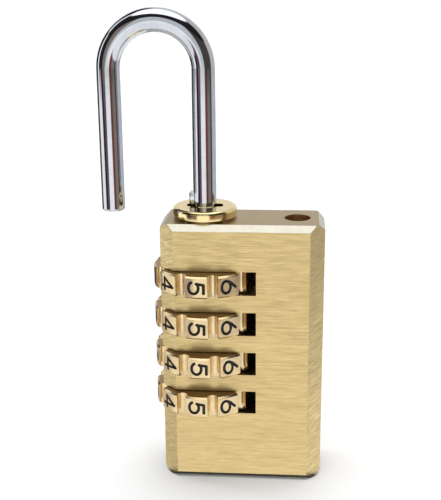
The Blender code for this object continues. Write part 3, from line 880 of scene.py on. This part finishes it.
def wheel_blank():
    """A fluted wheel without digits, its ends chamfered by a double cone."""
    half = WHEEL_HEIGHT / 2
    wheel = prism("wheel", wheel_outline(), -half, half)
    widest = WHEEL_RADIUS + OVERCUT
    rim = WHEEL_RADIUS - WHEEL_EDGE_BEVEL
    slope = widest - rim
    end = half + BARREL_SKIN
    profile = [
        (rim, end),
        (widest, half - slope),
        (widest, slope - half),
        (rim, -end),
        (BARREL_CORE, -end),
        (BARREL_CORE, end),
    ]
    low, high = -half - OVERCUT, half + OVERCUT
    combine(wheel, drum("bore", WHEEL_BORE_RADIUS, low, high, count=WHEEL_BORE_SIDES))
    combine(wheel, lathe("barrel", profile, (0.0, 0.0), BARREL_SIDES), "INTERSECT")
    tidy_mesh(wheel)
    return round_edges(wheel, WHEEL_EDGE_ROUND, angle=WHEEL_EDGE_ANGLE)


def make_wheels():
    wheel = wheel_blank()
    wheel.data.materials.clear()
    wheel.data.materials.append(WHEEL_BRASS)
    wheel.data.materials.append(WHEEL_END_PAINTED_SHADE)
    # Flat wheel ends take the darker brass, painted shade.
    for face in wheel.data.polygons:
        face.material_index = int(abs(face.normal.z) > WHEEL_FLAT)
    combine(wheel, engraving_tool(), own_material=True, tangled=True)
    tidy_mesh(wheel)
    for number, z, play in zip(WHEEL_NUMBERS, WHEEL_Z, WHEEL_PLAY):
        copy = bpy.data.objects.new(f"wheel_{number}", wheel.data.copy())
        bpy.context.scene.collection.objects.link(copy)
        place(
            copy,
            f"wheel_{number}",
            f"number_wheel_{number}",
            FACET_ANGLE,
            (HEEL_X, 0.0, z),
            FRONT_PAD_TURN + play,
        )
    bpy.data.objects.remove(wheel)


# ------------------------------------------------ pieces carried over from the frame

CARRIED = {
    "heel_plug": BRUSHED_FRONT,
    "detent_plug": BRUSHED_FRONT,
    "collar_pin": STEEL,
    "thrust_washer": STEEL,
    "spring_cap": STEEL,
    "retaining_ring": SPRING_STEEL,
    "clutch_spring": SPRING_STEEL,
    "shackle_spring": SPRING_STEEL,
    "detent_spring": SPRING_STEEL,
    **{f"clutch_hub_{number}": STEEL for number in WHEEL_NUMBERS},
}


def dress_carried_nodes():
    for name, finish in CARRIED.items():
        node = frame["nodes"][name]
        node.data.materials.clear()
        node.data.materials.append(finish)


# ------------------------------------------------ stage


WHITE = (0.70, 0.72, 0.74)
PALE = (0.65, 0.665, 0.68)
GREY = (0.30, 0.30, 0.31)
BLACK = (0.012, 0.012, 0.014)
DARK = (0.05, 0.045, 0.045)
PLUM = (0.10, 0.05, 0.07)
RUST = (0.13, 0.04, 0.025)
TAUPE = (0.17, 0.14, 0.125)
OLIVE = (0.045, 0.042, 0.036)
COOL = (0.40, 0.43, 0.44)
LILAC = (0.37, 0.38, 0.43)
BACKDROP = (0.47, 0.47, 0.48)
SHADE = (0.40, 0.39, 0.38)
BRIGHT = (1.0, 1.0, 1.0)

WORLD_STRENGTH = 1.68
SOFT_EDGE = 3.0
BEYOND_FLOOR = (0.98, 0.99, 1.0)
FLOOR_WHITE = (0.97, 0.975, 0.98)
FLOOR_DARK = (0.02, 0.02, 0.02)
FLOOR_ROUGHNESS = 0.6
FLOOR_HALF_METRES = 30.0

# The lamps: metres, watts, and for the fill watts to the square metre.
LAMP_AT = (-0.1, -0.05, 0.9)
LAMP_SIZE = 0.6
LAMP_WATTS = 1.4
FILL_STRENGTH = 1.05
FILL_SPREAD = math.radians(80.0)

# The camera: metres and degrees, and millimetres for its lens and sensor.
CAMERA_AT = (0.00954, -0.17109, 0.09708)
CAMERA_YAW, CAMERA_PITCH, CAMERA_ROLL = 4.60, 17.16, -0.52
LENS = 69.4
SENSOR = 36.0
CLIP_START = 0.01

# What stands round the lock, by height: each row is the elevation that it starts from and
# its panels, each with the azimuth that it starts from. Ahead of the lock is 0 degrees, and
# azimuths grow towards its right as seen from there.
ROOM = (
    (-90.0, ((-180.0, GREY), (-150.0, SHADE), (-85.0, PALE))),
    (
        -20.5,
        (
            (-180.0, DARK),
            (-107.0, WHITE),
            (-66.0, BLACK),
            (-47.0, PLUM),
            (-24.0, WHITE),
            (20.0, RUST),
            (42.0, TAUPE),
            (72.0, DARK),
            (90.0, LILAC),
            (150.0, GREY),
        ),
    ),
    (
        -7.0,
        (
            (-180.0, BACKDROP),
            (-140.0, BLACK),
            (-102.0, WHITE),
            (-88.0, BLACK),
            (-47.0, TAUPE),
            (-20.0, COOL),
            (17.0, OLIVE),
            (60.0, DARK),
            (88.0, SHADE),
            (150.0, BACKDROP),
        ),
    ),
    (
        27.0,
        (
            (-180.0, COOL),
            (-165.0, BLACK),
            (-118.0, WHITE),
            (-98.0, BLACK),
            (95.0, SHADE),
            (150.0, COOL),
        ),
    ),
    (58.0, ((-180.0, BRIGHT),)),
)


def make_floor():
    """A pale floor without end. Metal doesn't mirror it, but the room below its level, as it
    would on a small stand; close under the lock metal sees the dark of its own shadow."""
    paper = Nodes("pale_floor", 0.0, FLOOR_ROUGHNESS, FLOOR_WHITE)
    paper.shader.inputs["Specular IOR Level"].default_value = 0.0
    pale = paper.material
    shade = Nodes("floor_shade", 0.0, FLOOR_ROUGHNESS, FLOOR_DARK).material
    footprint = (BODY_HIGH.x * MM, BODY_HIGH.y * MM)
    endless = (FLOOR_HALF_METRES, FLOOR_HALF_METRES)
    for name, half, finish in (("floor", endless, pale), ("shade", footprint, shade)):
        bm = bmesh.new()
        bmesh.ops.create_grid(bm, x_segments=1, y_segments=1, size=1.0)
        bmesh.ops.scale(bm, vec=(*half, 1.0), verts=bm.verts)
        floor = new_object(name, bm)
        floor.data.materials.append(finish)
        floor.visible_camera = floor.visible_diffuse = finish is pale
        floor.visible_glossy = finish is shade
        floor.visible_shadow = False


def panels(tree, angle, half_turn, bands):
    """Colours by angle, each from its own start to the next one's, with soft edges."""
    share = tree.nodes.new("ShaderNodeMapRange")
    share.inputs["From Min"].default_value = -math.radians(half_turn)
    share.inputs["From Max"].default_value = math.radians(half_turn)
    tree.links.new(angle, share.inputs["Value"])
    node = tree.nodes.new("ShaderNodeValToRGB")
    tree.links.new(share.outputs["Result"], node.inputs["Fac"])
    ramp = node.color_ramp
    ramp.elements.remove(ramp.elements[1])
    ramp.elements[0].color = (*bands[0][1], 1.0)
    for (_, old), (start, new) in zip(bands, bands[1:]):
        for edge, colour in ((start - SOFT_EDGE / 2, old), (start + SOFT_EDGE / 2, new)):
            element = ramp.elements.new((edge + half_turn) / (2 * half_turn))
            element.color = (*colour, 1.0)
    return node.outputs["Color"]


def mix(tree, factor, first, second):
    node = tree.nodes.new("ShaderNodeMix")
    node.data_type = "RGBA"
    tree.links.new(factor, node.inputs[0])
    colours = [socket for socket in node.inputs if socket.type == "RGBA"]
    for socket, colour in zip(colours, (first, second)):
        tree.links.new(colour, socket)
    return [socket for socket in node.outputs if socket.type == "RGBA"][0]


def calculate(tree, operation, first, second=None):
    node = tree.nodes.new("ShaderNodeMath")
    node.operation = operation
    for socket, value in zip(node.inputs, (first, second)):
        if isinstance(value, float):
            socket.default_value = value
        elif value:
            tree.links.new(value, socket)
    return node.outputs["Value"]


def make_world():
    """A studio of pale and dark panels round the lock, under a bright ceiling. The camera
    itself sees plain white past the floor."""
    world = bpy.data.worlds.new("studio")
    bpy.context.scene.world = world
    world.use_nodes = True
    tree = world.node_tree
    direction = tree.nodes.new("ShaderNodeTexCoord").outputs["Generated"]
    axes = tree.nodes.new("ShaderNodeSeparateXYZ")
    tree.links.new(direction, axes.inputs["Vector"])
    ahead = calculate(tree, "MULTIPLY", axes.outputs["Y"], -1.0)
    azimuth = calculate(tree, "ARCTAN2", axes.outputs["X"], ahead)
    elevation = calculate(tree, "ARCSINE", axes.outputs["Z"])
    room = None
    for start, bands in ROOM:
        level = panels(tree, azimuth, 180.0, bands)
        above = panels(tree, elevation, 90.0, ((-90.0, (0.0,) * 3), (start, (1.0,) * 3)))
        room = mix(tree, above, room, level) if room else level
    background = tree.nodes["Background"]
    tree.links.new(room, background.inputs["Color"])
    background.inputs["Strength"].default_value = WORLD_STRENGTH
    plain = tree.nodes.new("ShaderNodeBackground")
    plain.inputs["Color"].default_value = (*BEYOND_FLOOR, 1.0)
    blend = tree.nodes.new("ShaderNodeMixShader")
    tree.links.new(tree.nodes.new("ShaderNodeLightPath").outputs["Is Camera Ray"], blend.inputs[0])
    tree.links.new(background.outputs[0], blend.inputs[1])
    tree.links.new(plain.outputs[0], blend.inputs[2])
    tree.links.new(blend.outputs[0], tree.nodes["World Output"].inputs["Surface"])


def make_lights():
    """A soft lamp overhead and a wide fill, for the floor and the digits; metal mirrors the
    room alone."""
    overhead = bpy.data.lights.new("overhead", "AREA")
    overhead.size = LAMP_SIZE
    overhead.energy = LAMP_WATTS
    fill = bpy.data.lights.new("fill", "SUN")
    fill.energy = FILL_STRENGTH
    fill.angle = FILL_SPREAD
    for light in (overhead, fill):
        lamp = bpy.data.objects.new(light.name, light)
        lamp.location = LAMP_AT
        lamp.visible_glossy = False
        bpy.context.scene.collection.objects.link(lamp)


def make_camera():
    """The camera stands a little right of the lock and looks down at it."""
    yaw, pitch, roll = (math.radians(a) for a in (CAMERA_YAW, CAMERA_PITCH, CAMERA_ROLL))
    forward = Vector(
        (-math.sin(yaw) * math.cos(pitch), math.cos(yaw) * math.cos(pitch), -math.sin(pitch))
    )
    level = Vector((math.cos(yaw), math.sin(yaw), 0.0))
    above = level.cross(forward)
    right = level * math.cos(roll) + above * math.sin(roll)
    up = above * math.cos(roll) - level * math.sin(roll)
    data = bpy.data.cameras.new("camera")
    data.sensor_width = SENSOR
    data.lens = LENS
    data.clip_start = CLIP_START
    camera = bpy.data.objects.new("camera", data)
    facing = Matrix((right, up, -forward)).transposed().to_4x4()
    camera.matrix_world = Matrix.Translation(CAMERA_AT) @ facing
    bpy.context.scene.collection.objects.link(camera)
    bpy.context.scene.camera = camera


make_camera()
make_floor()
make_world()
make_lights()
make_body()
make_shackle()
make_collar()
make_wheels()
dress_carried_nodes()
bpy.context.scene.view_settings.view_transform = "Standard"
